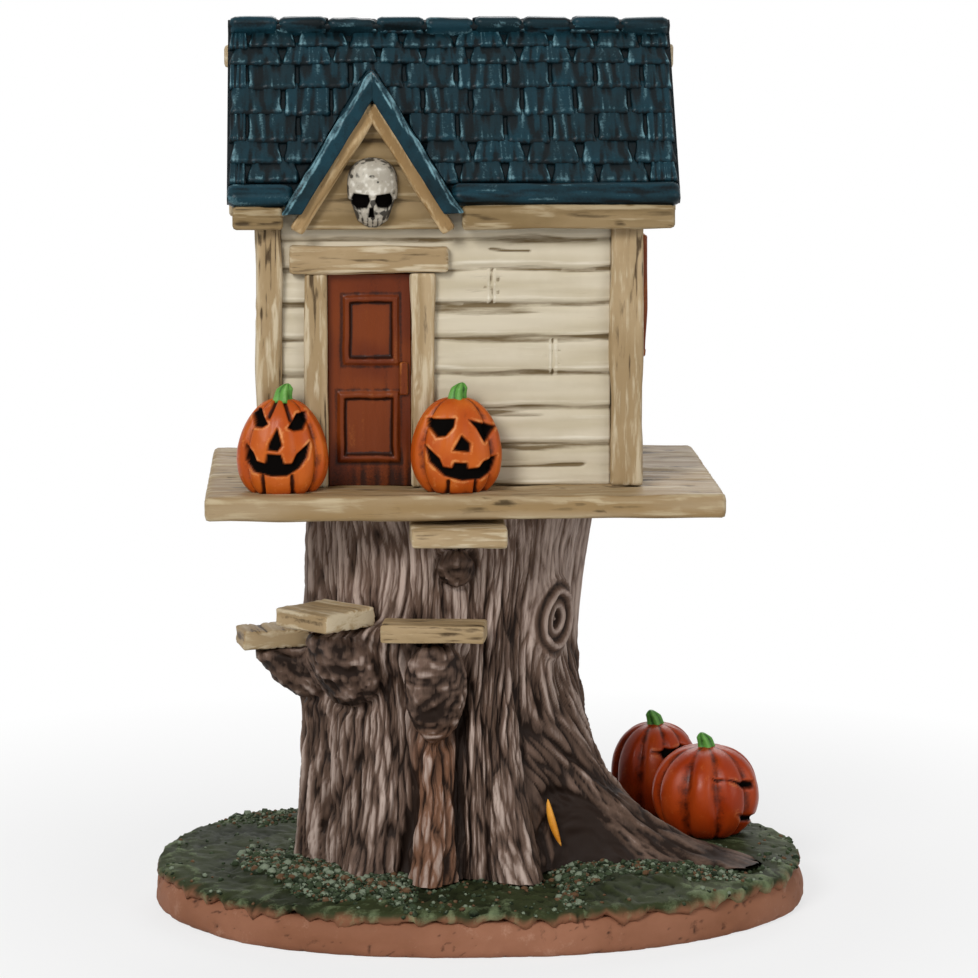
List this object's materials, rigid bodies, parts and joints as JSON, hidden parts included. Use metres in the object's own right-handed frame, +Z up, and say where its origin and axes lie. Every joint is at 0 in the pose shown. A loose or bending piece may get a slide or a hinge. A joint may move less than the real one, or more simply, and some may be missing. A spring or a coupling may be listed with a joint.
{
  "type": "tree house figurine",
  "caption": "Moulded table figurine of a boarded tree house on a deck, carried by a rooted stump with plank steps, pumpkins and a turfed oval base.",
  "frame": {"origin": "centre of the base's underside", "axes": "+Z up, +X to the viewer's right, the front with the door faces -Y"},
  "size_m": [0.131, 0.093, 0.177],
  "materials": {
    "amber_resin": "satin",
    "bark_resin": "matte painted, dark wash and pale dry-brush",
    "bone_resin": "matte painted",
    "dark_resin": "satin painted",
    "deck_resin": "matte painted",
    "gable_resin": "matte painted",
    "pumpkin_resin": "satin painted",
    "russet_resin": "satin painted",
    "shingle_resin": "satin painted",
    "siding_resin": "matte painted",
    "stem_resin": "satin painted",
    "terracotta_resin": "matte painted",
    "trim_resin": "matte painted",
    "turf_resin": "matte painted"
  },
  "bodies": {
    "root": {"base_plinth": "terracotta_resin", "turf": "turf_resin", "trunk": "bark_resin", "root_light": "amber_resin", "step_far_left": "trim_resin", "step_left": "trim_resin", "step_centre": "trim_resin", "step_top": "trim_resin", "deck": "deck_resin", "front_wall": "siding_resin", "back_wall": "siding_resin", "left_wall": "siding_resin", "right_wall": "siding_resin", "post_front_left": "trim_resin", "post_front_right": "trim_resin", "post_back_left": "trim_resin", "post_back_right": "trim_resin", "door": "russet_resin", "door_handle": "dark_resin", "jamb_left": "trim_resin", "jamb_right": "trim_resin", "lintel": "trim_resin", "window_frame": "russet_resin", "window_pane": "amber_resin", "roof_front": "shingle_resin", "roof_back": "shingle_resin", "ridge_beam": "trim_resin", "eave_boards_front": "trim_resin", "eave_board_back": "trim_resin", "rake_boards_left": "trim_resin", "rake_boards_right": "trim_resin", "gable_roof_left": "shingle_resin", "gable_roof_right": "shingle_resin", "gable_wall": "gable_resin", "gable_rake_left": "trim_resin", "gable_rake_right": "trim_resin", "skull": "bone_resin", "porch_pumpkin_left": "pumpkin_resin", "porch_stem_left": "stem_resin", "porch_pumpkin_right": "pumpkin_resin", "porch_stem_right": "stem_resin", "ground_pumpkin_front": "pumpkin_resin", "ground_stem_front": "stem_resin", "ground_pumpkin_back": "pumpkin_resin", "ground_stem_back": "stem_resin"}
  },
  "joints": []
}
